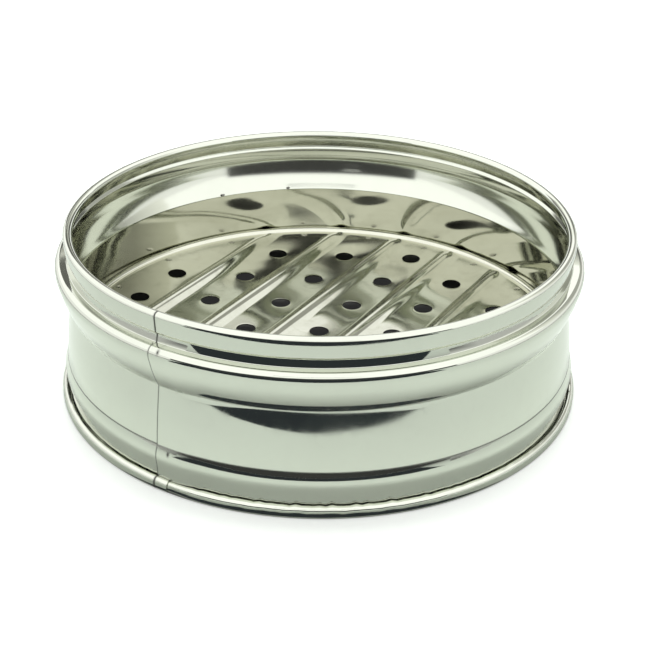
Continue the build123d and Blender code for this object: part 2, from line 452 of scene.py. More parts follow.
@dataclass
class LapSeam:
    """Lapped seam of the band: angles in degrees about the axis, sizes in millimetres."""

    at: float = 235.8
    lap: float = 3.0
    groove: float = 0.495
    joggle: float = 8.0
    lift: float = 0.46
    butt: float = 0.08
    margin: float = 1.5
    fine: float = 0.1
    coarse: float = 1.2
    inner_steps: int = 40
    # Widths of the painted shade at the flap's edge and below it; the places of the painted pit shades
    # follow.
    edge_shade: float = 0.13
    under_shade: float = 0.24
    under_shift: float = 0.05
    pit_shades: tuple[tuple[float, float], ...] = ((2.2, 57.6), (2.95, 15.7))
    pit_along: float = 0.30
    pit_up: float = 0.7

    @property
    def length(self) -> float:
        """Angle that the strip covers, its lap included."""
        return FULL_CIRCLE + self.lap

    @property
    def near(self) -> float:
        """Reach of the finer angles beside each end of the strip."""
        return self.lap + self.groove + self.margin

    def angles(self) -> np.ndarray:
        """Angles round the strip from the flap's edge to the inner end, finer beside the lap.

        Returns:
            Rising angles, in degrees.
        """
        inner = self.length - self.near
        start = np.arange(0.0, self.near, self.fine)
        middle = np.arange(self.near, inner, self.coarse)
        finish = np.linspace(inner, self.length, self.inner_steps)
        return np.concatenate([start, middle, finish]) + self.at

    def offset(self, angle: np.ndarray) -> np.ndarray:
        """How far the sheet stands out: the lap's lift on the flap, none past the joggle."""
        begin = self.at + self.lap + self.groove
        return self.lift * (1.0 - smooth_step(begin, begin + self.joggle, angle))

    def drawn_back(self, angle: np.ndarray) -> np.ndarray:
        """Degrees by which the inner end stops short at the rim, to meet the flap's edge there."""
        from_near = angle - self.at - self.length + self.near
        return (self.lap + self.butt) * np.clip(from_near / self.near, 0.0, 1.0)

    def dirt_and_shade(self, angle: np.ndarray, up: np.ndarray) -> np.ndarray:
        """Painted shade as bells: a dark line in the gap at the flap's edge, one on the layer below it, and
        two dark dots beside it for the shade of small pits.

        Args:
            angle: angles of the points, in degrees.
            up: their heights.

        Returns:
            Painted shade from 0 to 1.
        """
        # Painted shade: dark bells at the flap's edge, under it and at two pits.
        past_edge = angle - self.at
        edge = bell(past_edge, self.edge_shade)
        under = bell(past_edge - FULL_CIRCLE + self.under_shift, self.under_shade)
        pit_shades = [bell(past_edge - along, self.pit_along) * bell(up - high, self.pit_up)
                for along, high in self.pit_shades]
        return np.maximum.reduce([edge, under, *pit_shades])


@dataclass(frozen=True)
class WeldSeat:
    """Place of a weld bead: radius and height in millimetres, angle about the axis and lean in degrees."""

    radius: float
    up: float
    angle: float
    lean: float = 0.0


@dataclass
class BodyBand:
    """Outer band: one beaded strip, curled at both edges and lapped at the seam; in millimetres."""

    sheet: float = 0.4
    hem_edge_r: float = 102.36
    hem_r: float = 104.06
    hem_top: float = 4.7
    hem_low: float = 0.2
    hem_bends: tuple[float, float, float] = (1.6, 1.5, 1.15)
    skirt_r: float = 101.5
    land_top: float = 8.5
    land_bend: float = 14.0
    flare_r: float = 102.4
    flare_bend: float = 8.0
    skirt_top: float = 13.6
    wall_r: float = 101.0
    step_top: float = 17.8
    step_fold: tuple[float, float] = (0.17, 0.47)
    step_lip: tuple[float, float] = (0.04, 0.5)
    step_bend: float = 0.3
    wall_bow: tuple[float, float] = (100.5, 26.5)
    wall_bend: float = 120.0
    crease_r: float = 98.7
    crease_bend: float = 0.6
    bead_foot: float = 41.3
    slope_bow: tuple[float, float] = (101.6, 47.3)
    slope_bend: float = 25.0
    bead_r: float = 103.65
    bead_low: float = 54.7
    bead_bends: tuple[float, float] = (5.0, 2.3)
    shoulder: float = 58.1
    neck_foot: tuple[float, float] = (99.1, 58.3)
    neck: tuple[float, float] = (98.45, 61.6)
    neck_bend: float = 0.5
    foot_r: float = 99.4
    rim_r: float = 99.93
    rim_foot: float = 62.6
    rim_top: float = 69.8
    rim_inner_r: float = 96.5
    rim_edge: float = 66.1
    rim_tuck: float = 1.7
    rim_bends: tuple[float, float, float] = (1.4, 1.6, 1.2)
    notch_out: tuple[float, float] = (0.4, 0.6)
    notch_below: float = 0.8
    seat_below: float = 3.0
    seat_reach: float = 1.0
    wall_wave: float = 0.02
    wall_waves: tuple[StandingWave, ...] = (
        StandingWave(share=1.0, times=5, phase=0.7, length=9.0, shift=-QUARTER),
        StandingWave(share=0.7, times=11, phase=2.1, length=7.0, shift=1.0),
        StandingWave(share=0.5, times=17, phase=0.0, length=6.0),
        StandingWave(share=0.5, times=17, phase=QUARTER, length=6.0, shift=-QUARTER),
    )
    wave_rise: tuple[float, float] = (15.0, 22.0)
    wave_fall: tuple[float, float] = (36.0, 42.0)
    hem_wrinkle: float = 0.15
    wrinkles: tuple[tuple[float, float, float], ...] = ((1.0, 97, 0.0), (0.8, 151, 1.3), (0.6, 59, 0.4))
    wrinkle_at: float = 275.0
    wrinkle_width: float = 24.0
    wrinkle_least: float = 0.3
    roll_rise: tuple[float, float] = (2.6, 4.2)
    roll_fall: tuple[float, float] = (4.9, 6.5)
    roll_out: tuple[float, float] = (101.6, 102.3)
    # Painted shade along the step's crease: its darkness, its width and its reach inwards.
    crease_shade: float = 0.85
    crease_shade_up: float = 0.24
    crease_shade_in: float = 0.1

    def line(self) -> np.ndarray:
        """Middle line of the strip from the hem's free edge to the rim's free edge.

        Returns:
            Radius and height of its points, one per row.
        """
        hem_out, hem_under, hem_in = self.hem_bends
        rim_out, rim_in, rim_under = self.rim_bends
        corners = [
            Corner(self.hem_edge_r, self.hem_top),
            Corner(self.hem_r, self.hem_top, hem_out),
            Corner(self.hem_r, self.hem_low, hem_under),
            Corner(self.skirt_r, self.hem_low, hem_in),
            Corner(self.skirt_r, self.land_top, self.land_bend),
            Corner(self.flare_r, self.skirt_top, self.flare_bend),
            Corner(self.wall_r + self.step_fold[0], self.step_top - self.step_fold[1]),
            Corner(self.wall_r, self.step_top, self.step_bend),
            Corner(self.wall_r - self.step_lip[0], self.step_top + self.step_lip[1]),
            Corner(*self.wall_bow, self.wall_bend),
            Corner(self.crease_r, self.bead_foot, self.crease_bend),
            Corner(*self.slope_bow, self.slope_bend),
            Corner(self.bead_r, self.bead_low, self.bead_bends[0]),
            Corner(self.bead_r, self.shoulder, self.bead_bends[1]),
            Corner(*self.neck_foot, self.neck_bend),
            Corner(*self.neck, self.neck_bend),
            Corner(self.foot_r, self.rim_foot, self.neck_bend),
            Corner(self.rim_r, self.rim_top, rim_out),
            Corner(self.rim_inner_r, self.rim_top, rim_in),
            Corner(self.rim_inner_r, self.rim_edge, rim_under),
            Corner(self.rim_inner_r + self.rim_tuck, self.rim_edge),
        ]
        return rounded_line(corners, step=12.0, longest=2.0)

    def seat(self, up: float, angle: float, off: float) -> WeldSeat:
        """Seat of a weld off the middle line between land and bead, leaning as the line does there.

        Args:
            up: height of the weld.
            angle: its angle about the axis, in degrees.
            off: how far it stands outside the line.

        Returns:
            The seat.
        """
        line = self.line()
        face = line[(line[:, 1] > self.land_top - self.seat_below) & (line[:, 1] < self.bead_low)]
        face = face[face[:, 0] < self.bead_r]
        reach = self.seat_reach
        below, across, above = np.interp([up - reach, up, up + reach], face[:, 1], face[:, 0])
        return WeldSeat(across + off, up, angle, math.degrees(math.atan2(above - below, 2 * reach)))

    def wave(self, angle: np.ndarray, line: np.ndarray) -> np.ndarray:
        """How far the sheet leaves its line: standing waves on the wall, a sum of sines on the hem's roll.

        Args:
            angle: angles about the axis, in degrees, one per row of the result.
            line: points of the middle line, one per column of the result.

        Returns:
            Millimetres to the outside.
        """
        turn = np.radians(angle)[:, None]
        across, up = line[None, :, 0], line[None, :, 1]
        slow = sum(wave.at(turn, up) for wave in self.wall_waves)
        on_wall = plateau(up, self.wave_rise, self.wave_fall)
        on_roll = plateau(up, self.roll_rise, self.roll_fall) * smooth_step(*self.roll_out, across)
        front = bell(angle - self.wrinkle_at, self.wrinkle_width)[:, None] + self.wrinkle_least
        pucker = sum(share * np.sin(times * turn + phase) for share, times, phase in self.wrinkles)
        return self.wall_wave * slow * on_wall + self.hem_wrinkle * pucker * on_roll * front

    def notched(self, line: np.ndarray) -> np.ndarray:
        """Share of the notch at each point: 1 on neck and rim, and an S-curve down to 0 over the shoulder.

        Args:
            line: points of the middle line.

        Returns:
            Shares from 0 to 1.
        """
        inner, outer = self.foot_r + self.notch_out[0], self.bead_r - self.notch_out[1]
        above = line[:, 1] > self.shoulder - self.notch_below
        return (1.0 - smooth_step(inner, outer, line[:, 0])) * above

    def build(self, seam: LapSeam, material: bpy.types.Material) -> bpy.types.Object:
        """Strip: the line given the sheet's thickness, carried round the axis, with capped ends.

        Args:
            seam: the lap that the strip's two ends make.
            material: its finish.

        Returns:
            The band.
        """
        line = self.line()
        angle = seam.angles()
        head = self.notched(line)[None]
        lift = seam.offset(angle)[:, None] * (1.0 - head) + self.wave(angle, line)
        swept = angle[:, None] - seam.drawn_back(angle)[:, None] * head
        swept = np.concatenate([swept, swept[:, ::-1]], axis=1)
        section = sheet_section(line, lift, self.sheet)
        points = carry_round(section, np.radians(swept))
        rows, cols = section.shape[:2]
        skin = grid_quads(rows, cols, close_cols=True)
        pair = np.arange(len(line) - 1)
        cap = np.stack([pair, cols - 1 - pair, cols - 2 - pair, pair + 1], 1)
        far = cap[:, ::-1] + (rows - 1) * cols
        obj = make_mesh("band_strip", points.reshape(-1, 3), [skin, cap, far], sharp=48.0)
        across, up = section[..., 0], section[..., 1]
        # Painted shade: a dark line along the step's concave crease, on its outer part.
        on_step = across > self.wall_r - self.crease_shade_in
        crease = self.crease_shade * bell(up - self.step_top, self.crease_shade_up) * on_step
        set_attribute(obj, DIRT_AND_SHADE, np.maximum(seam.dirt_and_shade(swept, up), crease))
        inner_side = np.repeat([0.0, 1.0], len(line))
        set_attribute(obj, WORN, np.broadcast_to(inner_side, swept.shape))
        return seat_piece(obj, material, Slot.POLISHED, "body_band")


@dataclass
class PlateRing:
    """Inner ring: an upright wall inside the band and a flange below the plate; in millimetres."""

    sheet: float = 0.4
    flange_r: float = 88.1
    flange_up: float = 19.9
    wall_r: float = 100.09
    top_r: float = 97.9
    top: float = 42.3
    bend: float = 2.6
    wave_depth: float = 0.035
    waves: tuple[StandingWave, ...] = (
        StandingWave(share=1.0, times=7, phase=0.4, length=6.0),
        StandingWave(share=0.8, times=13, phase=1.9, length=5.0, shift=-QUARTER),
    )
    wave_rise: tuple[float, float] = (23.0, 28.0)
    wave_fall: tuple[float, float] = (38.0, 42.0)
    steps: int = 420

    def build(self, material: bpy.types.Material) -> bpy.types.Object:
        """Ring: an L-shaped line, uneven on its wall, given the sheet's thickness and carried round the axis.

        Args:
            material: its finish.

        Returns:
            The ring.
        """
        corners = [Corner(self.flange_r, self.flange_up), Corner(self.wall_r, self.flange_up, self.bend),
                   Corner(self.top_r, self.top)]
        line = rounded_line(corners, step=7.0, longest=1.2)
        turn = np.linspace(0.0, math.tau, self.steps, endpoint=False)[:, None]
        up = line[None, :, 1]
        slow = sum(wave.at(turn, up) for wave in self.waves)
        lift = self.wave_depth * slow * plateau(up, self.wave_rise, self.wave_fall)
        section = sheet_section(line, lift, self.sheet)
        points = carry_round(section, turn)
        faces = grid_quads(*section.shape[:2], close_cols=True, close_rows=True)
        obj = make_mesh("ring_with_flange", points.reshape(-1, 3), [faces], sharp=48.0)
        set_attribute(obj, DIRT_AND_SHADE, np.zeros(points.shape[:2]))
        return seat_piece(obj, material, Slot.POLISHED, "plate_ring")


@dataclass
class SteamPlate:
    """Ribbed plate with punched holes, and the dents that its spot welds leave; in millimetres."""

    sheet: float = 0.4
    top: float = 20.8
    radius: float = 95.99
    row_at: float = 60.0
    row_pitch: float = 26.8
    row_reach: int = 4
    hole_pitch: float = 27.1
    hole_r: float = 4.0
    hole_limit: float = 84.19
    rib_count: int = 6
    rib_h: float = 2.0
    rib_base: float = 6.0
    rib_crown: float = 1.4
    rib_crown_bend: float = 1.7
    rib_foot_bend: float = 5.6
    rib_run: float = 5.4
    rib_end_from: float = 89.0
    rib_end_share: float = 0.45
    rib_clear: tuple[float, float] = (1.0, 2.0)
    sag: float = 0.60
    lip: float = 0.06
    lip_reach: float = 0.55
    dish: float = 0.14
    dish_r: float = 8.5
    weld_r: float = 93.99
    weld_dent: float = 0.3
    weld_dent_r: float = 1.35
    weld_dent_power: float = 1.5
    weld_mark: float = 0.75
    weld_mark_share: float = 0.8
    end_bay_welds: int = 4
    end_bay_reach: float = 30.74
    end_bay_turn: float = -3.5
    slow_wave: float = 0.10
    long_wave: tuple[float, float] = (17.0, 21.0)
    short_wave: tuple[float, float] = (9.0, 30.0)
    short_share: float = 0.6
    long_phase: float = 0.6
    edge_fade: tuple[float, float] = (70.0, 92.0)
    slope_reach: float = 0.02
    bay_lines: int = 11
    side_pitch: float = 1.6
    along_pitch: float = 2.0
    rim_steps: int = 720
    rim_clear: float = 0.7
    hole_steps: int = 44
    hole_rings: tuple[float, ...] = (0.0, 0.18, 0.42, 0.75, 1.2, 1.8, 2.5)
    hole_clear: float = 7.0
    dent_every: int = 3
    dent_rings: tuple[float, ...] = (0.02, 0.3, 0.55, 0.8, 1.0, 1.25)
    dent_clear: float = 2.4
    merge: float = 1e-5
    inside: float = 0.01

    def holes(self) -> np.ndarray:
        """Centres of the holes: staggered rows, cut off at the hole limit.

        Returns:
            Centres in the plate's row frame: along the rows, across the rows.
        """
        row = np.arange(-self.row_reach, self.row_reach + 1)[:, None]
        step = row.T
        along = (step + (row % 2) / 2) * self.hole_pitch
        across = np.broadcast_to(row * self.row_pitch, along.shape)
        spots = np.stack([along, across], -1).reshape(-1, 2)
        return spots[np.hypot(spots[:, 0], spots[:, 1]) < self.hole_limit]

    def welds(self) -> np.ndarray:
        """Centres of the spot welds on one circle: one per bay's end and more in the end bays.

        Returns:
            Centres in the row frame.
        """
        bay = (np.arange(1, self.rib_count) - self.rib_count / 2) * self.row_pitch
        swing = np.arcsin(bay / self.weld_r)
        spread = np.linspace(-self.end_bay_reach, self.end_bay_reach, self.end_bay_welds)
        wide = np.radians(spread + self.end_bay_turn)
        turn = np.concatenate([swing, math.pi - swing, QUARTER + wide, wide - QUARTER])
        return self.weld_r * np.stack([np.cos(turn), np.sin(turn)], 1)

    def rib_line(self) -> np.ndarray:
        """Line over one half of a rib, from its crown to the flat plate beside it.

        Returns:
            Distance from the rib's middle and height, one point per row.
        """
        corners = [
            Corner(-self.rib_crown, self.rib_h),
            Corner(self.rib_crown / 2, self.rib_h, self.rib_crown_bend),
            Corner(self.rib_base / 2, 0.0, self.rib_foot_bend),
            Corner(self.rib_run, 0.0),
        ]
        line = rounded_line(corners, step=6.0, longest=0.8)
        return line[line[:, 0] > 0.0]

    def from_rib(self, across: np.ndarray) -> np.ndarray:
        """Distance across the rows from the nearest rib's middle; ribs lie between the rows.

        Args:
            across: places across the rows.

        Returns:
            Millimetres, never negative.
        """
        shifted = across / self.row_pitch + (self.rib_count % 2 + 1) / 2
        closest = np.clip(np.round(shifted), 1 - self.rib_count / 2, self.rib_count / 2)
        return np.abs(shifted - closest) * self.row_pitch

    def height(self, spot: np.ndarray) -> np.ndarray:
        """Height of the top face: ribs, sagging bays, dished holes with a lip, weld dents and a slow wave.

        Args:
            spot: points in the row frame, one per row.

        Returns:
            Millimetres above the standing plane.
        """
        along, across = spot[:, 0], spot[:, 1]
        from_axis = np.hypot(along, across)
        from_rib = self.from_rib(across)
        to_hole = nearest(spot, self.holes())
        to_weld = nearest(spot, self.welds())
        rib = self.rib_line()
        raised = np.interp(from_rib, rib[:, 0], rib[:, 1], left=self.rib_h, right=0.0)
        raised *= 1.0 - (1.0 - self.rib_end_share) * smooth_step(self.rib_end_from, self.radius, from_axis)
        near, far = self.rib_clear
        beside = 1.0 - smooth_step(self.rib_base / 2 - near, self.rib_base / 2 + far,
                                   self.rib_base + far - from_rib)
        lip = self.lip * np.exp(-np.clip(to_hole - self.hole_r, 0.0, None) / self.lip_reach)
        dish = self.dish * bell(to_hole, self.dish_r) * beside
        in_dent = np.clip(1.0 - (to_weld / self.weld_dent_r) ** 2, 0.0, None)
        dent = self.weld_dent * in_dent**self.weld_dent_power
        edge = 1.0 - smooth_step(*self.edge_fade, from_axis)
        bay = np.clip(1.0 - 2.0 * from_rib / self.row_pitch, 0.0, 1.0)
        drawn = self.sag * (bay**2 - 1.0) * edge
        slow = np.sin(along / self.long_wave[0] + self.long_phase) * np.cos(across / self.long_wave[1])
        slow += self.short_share * np.sin(along / self.short_wave[0] + across / self.short_wave[1])
        return self.top + raised + drawn - lip - dish - dent + self.slow_wave * slow * edge * beside

    def slope_normals(self, spot: np.ndarray) -> np.ndarray:
        """Unit normals of the top face, from small steps of its height both ways.

        Args:
            spot: points in the row frame, one per row.

        Returns:
            One normal per point.
        """
        steps = np.eye(2) * self.slope_reach
        rises = [(self.height(spot + step) - self.height(spot - step)) / (2 * self.slope_reach)
                 for step in steps]
        normal = np.stack([-rises[0], -rises[1], np.ones(len(spot))], 1)
        return normal / np.linalg.norm(normal, axis=1, keepdims=True)

    def field(self) -> np.ndarray:
        """Points on lines along the ribs, close over each rib and even across the bays.

        Returns:
            Points in the row frame that keep clear of the holes, the dents and the edge.
        """
        beside = self.rib_line()[:, 0]
        flat = np.linspace(beside[-1], self.row_pitch - beside[-1], self.bay_lines)[1:-1]
        one_rib = np.concatenate([-beside[::-1], [0.0], beside, flat])
        middle = (np.arange(self.rib_count) - (self.rib_count - 1) / 2) * self.row_pitch
        lines = (middle[:, None] + one_rib[None]).reshape(-1)
        low = np.arange(lines.min() - self.side_pitch, -self.radius, -self.side_pitch)
        lines = np.concatenate([low, lines])
        lines = lines[np.abs(lines) < self.radius]
        along = np.arange(-self.radius, self.radius, self.along_pitch)
        points = np.stack(np.meshgrid(along, lines, indexing="ij"), -1).reshape(-1, 2)
        clear_hole = nearest(points, self.holes()) > self.hole_clear
        clear_dent = nearest(points, self.welds()) > self.dent_clear
        clear_edge = np.hypot(points[:, 0], points[:, 1]) < self.radius - self.rim_clear
        return points[clear_hole & clear_dent & clear_edge]

    def plan(self) -> tuple[np.ndarray, np.ndarray]:
        """Flat layout of points and triangles: the field, and rings round the edge, the holes and the dents.

        Returns:
            Points in the row frame and three point numbers per triangle.
        """
        holes = self.holes()
        rim = self.radius * unit_circle(self.rim_steps)
        circle = unit_circle(self.hole_steps)
        radii = self.hole_r + np.array(self.hole_rings)
        round_holes = rings_round(holes, radii, circle)
        dent_radii = self.weld_dent_r * np.array(self.dent_rings)
        dents = rings_round(self.welds(), dent_radii, circle[::self.dent_every])
        points = np.concatenate([rim, round_holes, self.field(), dents])
        starts = len(rim) + np.arange(len(holes)) * len(radii) * len(circle)
        loops = [np.arange(len(rim)), *(start + np.arange(len(circle)) for start in starts)]
        edges = np.concatenate([np.stack([loop, np.roll(loop, -1)], 1) for loop in loops])
        placed, _, faces, *_ = delaunay_2d_cdt(
            [Vector(p) for p in points.tolist()], edges.tolist(), [], 0, self.merge)
        spots = np.array([(p.x, p.y) for p in placed])
        triangles = np.array(faces)
        open_hole = nearest(spots[triangles].mean(axis=1), holes) < self.hole_r - self.inside
        return spots, triangles[~open_hole]

    def build(self, material: bpy.types.Material) -> bpy.types.Object:
        """Plate: the layout raised to its height, a copy one sheet below it, and walls at every edge.

        Args:
            material: its finish.

        Returns:
            The plate.
        """
        spots, triangles = self.plan()
        top = np.column_stack([spots, self.height(spots)])
        under = top - self.sheet * self.slope_normals(spots)
        sides = np.concatenate([triangles[:, [0, 1]], triangles[:, [1, 2]], triangles[:, [2, 0]]])
        _, first, counts = np.unique(np.sort(sides, axis=1), axis=0, return_index=True, return_counts=True)
        rim = sides[first[counts == 1]]
        count = len(spots)
        walls = np.stack([rim[:, 1], rim[:, 0], rim[:, 0] + count, rim[:, 1] + count], 1)
        points = np.concatenate([top, under])
        turn = math.radians(self.row_at)
        spin = np.array([[math.cos(turn), math.sin(turn)], [-math.sin(turn), math.cos(turn)]])
        points[:, :2] = points[:, :2] @ spin
        faces = [triangles, triangles[:, ::-1] + count, walls]
        obj = make_mesh("ribbed_plate", points, faces, sharp=50.0)
        mark_r = self.weld_dent_r * self.weld_mark_share
        mark = self.weld_mark * bell(nearest(spots, self.welds()), mark_r)
        set_attribute(obj, DIRT_AND_SHADE, np.concatenate([mark, mark]))
        return seat_piece(obj, material, Slot.POLISHED, "steam_plate")


@dataclass
class TackWelds:
    """Small weld beads set round the axis, upright or lying along the turn; in millimetres."""

    name: str
    node: str
    seats: tuple[WeldSeat, ...]
    half_along: float
    half_deep: float
    upright: bool
    rows: int = 9
    cols: int = 14
    pole_gap: float = 0.06
    lump_round: float = 0.10
    lumps_round: int = 3
    lump_along: float = 0.06
    lumps_along: int = 4
    phase_step: float = 1.7

    def bead(self, seat: WeldSeat, phase: float) -> tuple[np.ndarray, np.ndarray, np.ndarray]:
        """One bead: a sphere grid with soft lumps, stretched along three axes and closed at its poles.

        Args:
            seat: where it sits.
            phase: shifts the lumps, so that beads differ.

        Returns:
            Points, quads and pole triangles.
        """
        angle, lean = math.radians(seat.angle), math.radians(seat.lean)
        outward = np.array([math.cos(angle), math.sin(angle), 0.0])
        around = np.array([-math.sin(angle), math.cos(angle), 0.0])
        upward = np.array([0.0, 0.0, 1.0])
        leaning = math.cos(lean) * upward + math.sin(lean) * outward
        across = math.cos(lean) * outward - math.sin(lean) * upward
        axes = np.array([across, around, leaning] if self.upright else [upward, outward, around])
        half = np.array([self.half_deep, self.half_deep, self.half_along])
        tilt = np.linspace(self.pole_gap, math.pi - self.pole_gap, self.rows)[:, None]
        turn = np.linspace(0.0, math.tau, self.cols, endpoint=False)[None]
        lump = 1.0 + self.lump_round * np.sin(self.lumps_round * turn + phase) * np.sin(tilt)
        lump = lump + self.lump_along * np.cos(self.lumps_along * tilt + phase)
        ball = np.stack(np.broadcast_arrays(
            np.sin(tilt) * np.cos(turn), np.sin(tilt) * np.sin(turn), np.cos(tilt)), -1)
        points = (lump[..., None] * ball * half) @ axes + outward * seat.radius + upward * seat.up
        poles = points[[0, -1]].mean(axis=1)
        quads = grid_quads(self.rows, self.cols, close_cols=True)[:, ::-1]
        col = np.arange(self.cols)
        after = (col + 1) % self.cols
        last = (self.rows - 1) * self.cols
        pole = np.full(self.cols, self.rows * self.cols)
        caps = [np.stack([pole, after, col], 1), np.stack([pole + 1, last + col, last + after], 1)]
        return np.concatenate([points.reshape(-1, 3), poles]), quads, np.concatenate(caps)

    def build(self, material: bpy.types.Material) -> bpy.types.Object:
        """One object of all beads.

        Args:
            material: their finish.

        Returns:
            The beads.
        """
        points, quads, caps, base = [], [], [], 0
        for order, seat in enumerate(self.seats):
            bead, skin, ends = self.bead(seat, self.phase_step * order)
            points.append(bead)
            quads.append(skin + base)
            caps.append(ends + base)
            base += len(bead)
        faces = [np.concatenate(quads), np.concatenate(caps)]
        obj = make_mesh(self.name, np.concatenate(points), faces, sharp=180.0)
        set_attribute(obj, DIRT_AND_SHADE, np.zeros(base))
        return seat_piece(obj, material, Slot.WELD, self.node)


@dataclass
class TackPlaces:
    """Where the tacks sit: radii and heights in millimetres, angles in degrees."""

    ring_r: float = 98.42
    ring_up: float = 42.72
    ring_at: float = 99.0
    ring_pairs: int = 3
    pair_swing: float = 18.0
    ring_half: tuple[float, float] = (0.8, 0.5)
    lap_ups: tuple[float, ...] = (6.7, 20.8, 38.3, 48.15)
    lap_off: float = 0.23
    lap_half: tuple[float, float] = (1.45, 0.19)

    def ring(self) -> TackWelds:
        """Tacks at the ring's top edge, in pairs at even parts of a turn.

        Returns:
            The tacks, to be built.
        """
        part = FULL_CIRCLE / self.ring_pairs
        angles = [self.ring_at + part * pair + self.pair_swing * mate
                  for pair in range(self.ring_pairs) for mate in range(2)]
        seats = tuple(WeldSeat(self.ring_r, self.ring_up, angle) for angle in angles)
        return TackWelds("ring_tack_beads", "ring_tack_welds", seats, *self.ring_half, upright=False)

    def lap(self, seam: LapSeam, band: BodyBand) -> TackWelds:
        """Tacks in the lap's groove, each leaning as the band does at its height.

        Args:
            seam: the lap.
            band: the band that it closes.

        Returns:
            The tacks, to be built.
        """
        angle = seam.at + seam.lap + seam.groove / 2
        seats = tuple(band.seat(up, angle, self.lap_off) for up in self.lap_ups)
        return TackWelds("lap_tack_beads", "seam_tack_welds", seats, *self.lap_half, upright=True)


def dress_spot_welds(nuggets: bpy.types.Object, material: bpy.types.Material) -> None:
    """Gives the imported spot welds, whose shape stays, the weld finish.

    Args:
        nuggets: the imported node.
        material: the finish.
    """
    nuggets.data.materials.clear()
    nuggets.data.materials.append(material)
    LOG.info("%s: packed node kept, new finish", nuggets.name)


def plain_card(name: str, centre: Sequence[float], half: tuple[float, float],
               facing: Facing) -> bpy.types.Object:
    """Flat rectangle of the studio: a two by two grid turned to face a direction.

    Args:
        name: name of the card.
        centre: its middle, in metres.
        half: half its sizes across and along.
        facing: direction that it faces.

    Returns:
        The card.
    """
    across, along = np.meshgrid([-half[0], half[0]], [-half[1], half[1]])
    flat = np.stack([across, along, np.zeros_like(across)], -1).reshape(-1, 3)
    turn = np.array(Vector(facing.value).to_track_quat("Z", "Y").to_matrix())
    points = (flat @ turn.T + np.array(centre)) / MM
    obj = make_mesh(name, points, [np.array([[0, 1, 3, 2]])], sharp=30.0)
    return obj


def floor_sector(name: str, inner: np.ndarray, outer: np.ndarray, swing: tuple[float, float],
                 up: float) -> bpy.types.Object:
    """Flat sector just above the floor: two curves about the axis, joined by quads.

    Args:
        name: name of the sector.
        inner: radius of its inner curve at even steps of the swing, in metres.
        outer: radius of its outer curve at the same steps.
        swing: the angles where it starts and ends, in degrees.
        up: its height above the floor.

    Returns:
        The sector.
    """
    count = len(inner)
    turn = np.radians(np.linspace(*swing, count))[:, None]
    section = np.stack([np.stack([inner, outer], axis=1), np.full((count, 2), up)], -1)
    points = carry_round(section, turn).reshape(-1, 3) / MM
    obj = make_mesh(name, points, [grid_quads(count, 2, close_cols=False)], sharp=30.0)
    return obj


def background_rays(tree: bpy.types.NodeTree, mirrored: float) -> bpy.types.NodeSocket:
    """How much of the background a ray sees: all to the camera, a share to mirror-like and transmitted rays.

    Args:
        tree: node tree of the floor or the world.
        mirrored: that share.

    Returns:
        Socket with the sum: camera ray plus the share times the two other kinds.
    """
    path = add_node(tree, "ShaderNodeLightPath")
    other = add_node(tree, "ShaderNodeMath", operation="ADD", use_clamp=True,
                     in_0=path.outputs["Is Glossy Ray"], in_1=path.outputs["Is Transmission Ray"])
    seen = add_node(tree, "ShaderNodeMath", operation="MULTIPLY_ADD", use_clamp=True,
                    in_0=other.outputs["Value"], in_1=mirrored, in_2=path.outputs["Is Camera Ray"])
    return seen.outputs["Value"]


@dataclass(frozen=True)
class Fade:
    """Even change of a card's glow along an axis: two places in metres and the shares there."""

    axis: Axis
    start: float
    end: float
    low: float
    high: float = 1.0


@dataclass(frozen=True)
class CardPaint:
    """Glow of a studio card: colour, strength and fades, of which the largest counts."""

    name: str
    colour: tuple[float, float, float]
    strength: float
    fades: tuple[Fade, ...] = ()

    def build(self) -> bpy.types.Material:
        """Material that only glows, at the largest of its fades' shares of its strength.

        Returns:
            The material.
        """
        material = bpy.data.materials.new(self.name)
        material.use_nodes = True
        tree = material.node_tree
        tree.nodes.clear()
        glow = add_node(tree, "ShaderNodeEmission", in_Color=(*self.colour, 1.0), in_Strength=self.strength)
        add_node(tree, "ShaderNodeOutputMaterial", in_Surface=glow.outputs["Emission"])
        place = add_node(tree, "ShaderNodeTexCoord")
        split = add_node(tree, "ShaderNodeSeparateXYZ", in_Vector=place.outputs["Object"])
        largest = 0.0
        for fade in self.fades:
            rise = add_node(tree, "ShaderNodeMapRange", in_Value=split.outputs[fade.axis.value],
                            in_From_Min=fade.start, in_From_Max=fade.end,
                            in_To_Min=fade.low * self.strength, in_To_Max=fade.high * self.strength)
            level = add_node(tree, "ShaderNodeMath", operation="MAXIMUM",
                             in_0=rise.outputs["Result"], in_1=largest)
            largest = level.outputs["Value"]
            tree.links.new(largest, glow.inputs["Strength"])
        return material


